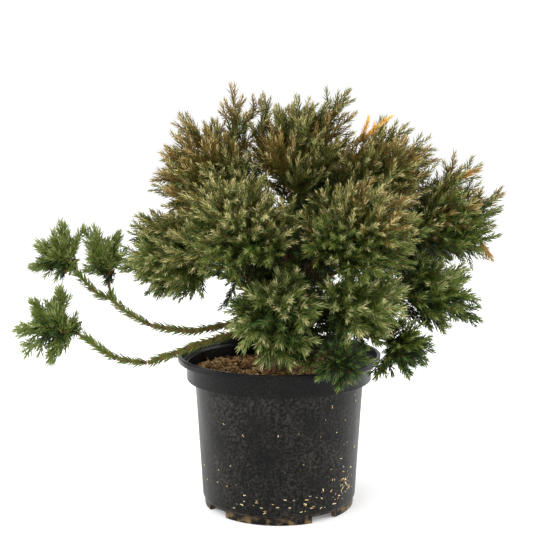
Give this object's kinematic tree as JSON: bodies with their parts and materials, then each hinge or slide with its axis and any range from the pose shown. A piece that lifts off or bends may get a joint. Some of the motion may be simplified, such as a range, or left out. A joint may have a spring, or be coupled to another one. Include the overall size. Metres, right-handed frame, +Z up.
{
  "type": "potted globosa nana japanese cedar",
  "caption": "Low, spreading dwarf conifer with bronze-tipped needle sprays and long trailing side arms, growing in a round black nursery pot.",
  "frame": {"origin": "centre of the pot's flat underside, on the pot's own axis", "axes": "+Z up along the pot's axis, -Y towards the viewer of the front, +X to the viewer's right; the long arms reach out along -X"},
  "size_m": [0.446, 0.2837, 0.391],
  "materials": {
    "pot": "black moulded plastic, half gloss, dusty",
    "growing_mix": "rough wood fibre and bark chips, matte",
    "bark": "thin reddish brown bark, matte",
    "foliage_green": "waxy green needles, half matte",
    "foliage_bronze": "bronze and tan tipped needles, half matte"
  },
  "bodies": {
    "root": {"pot": "pot", "growing_mix": "growing_mix", "trunk": "bark", "bough_upper_left": "bark", "bough_upper_right": "bark", "bough_right": "bark", "bough_left": "bark", "bough_front_left": "bark", "bough_front_right": "bark", "bough_back_left": "bark", "bough_back_right": "bark", "bough_back_outer_right": "bark", "bough_back_outer_left": "bark", "bough_back_low": "bark", "bough_low_front": "bark", "bough_low_right": "bark", "bough_outer_right": "bark", "bough_right_droop": "bark", "bough_rim_droop": "bark", "bough_top": "bark", "lower_arm_inner": "bark", "lower_arm_outer": "bark", "upper_arm_inner": "bark", "upper_arm_outer": "bark", "upper_arm_fork": "bark", "foliage_upper_left": "foliage_bronze", "foliage_top": "foliage_bronze", "foliage_upper_right": "foliage_bronze", "foliage_right": "foliage_bronze", "foliage_left": "foliage_green", "foliage_front_left": "foliage_bronze", "foliage_front_right": "foliage_bronze", "foliage_low_front": "foliage_green", "foliage_low_right": "foliage_green", "foliage_outer_right": "foliage_green", "foliage_right_droop": "foliage_green", "foliage_rim_droop": "foliage_green", "foliage_back_left": "foliage_bronze", "foliage_back_right": "foliage_bronze", "foliage_back_outer_right": "foliage_green", "foliage_back_low": "foliage_green", "foliage_back_outer_left": "foliage_green", "foliage_upper_arm_tip": "foliage_green", "foliage_upper_arm_side": "foliage_green", "foliage_lower_arm_tip": "foliage_green"}
  },
  "joints": []
}
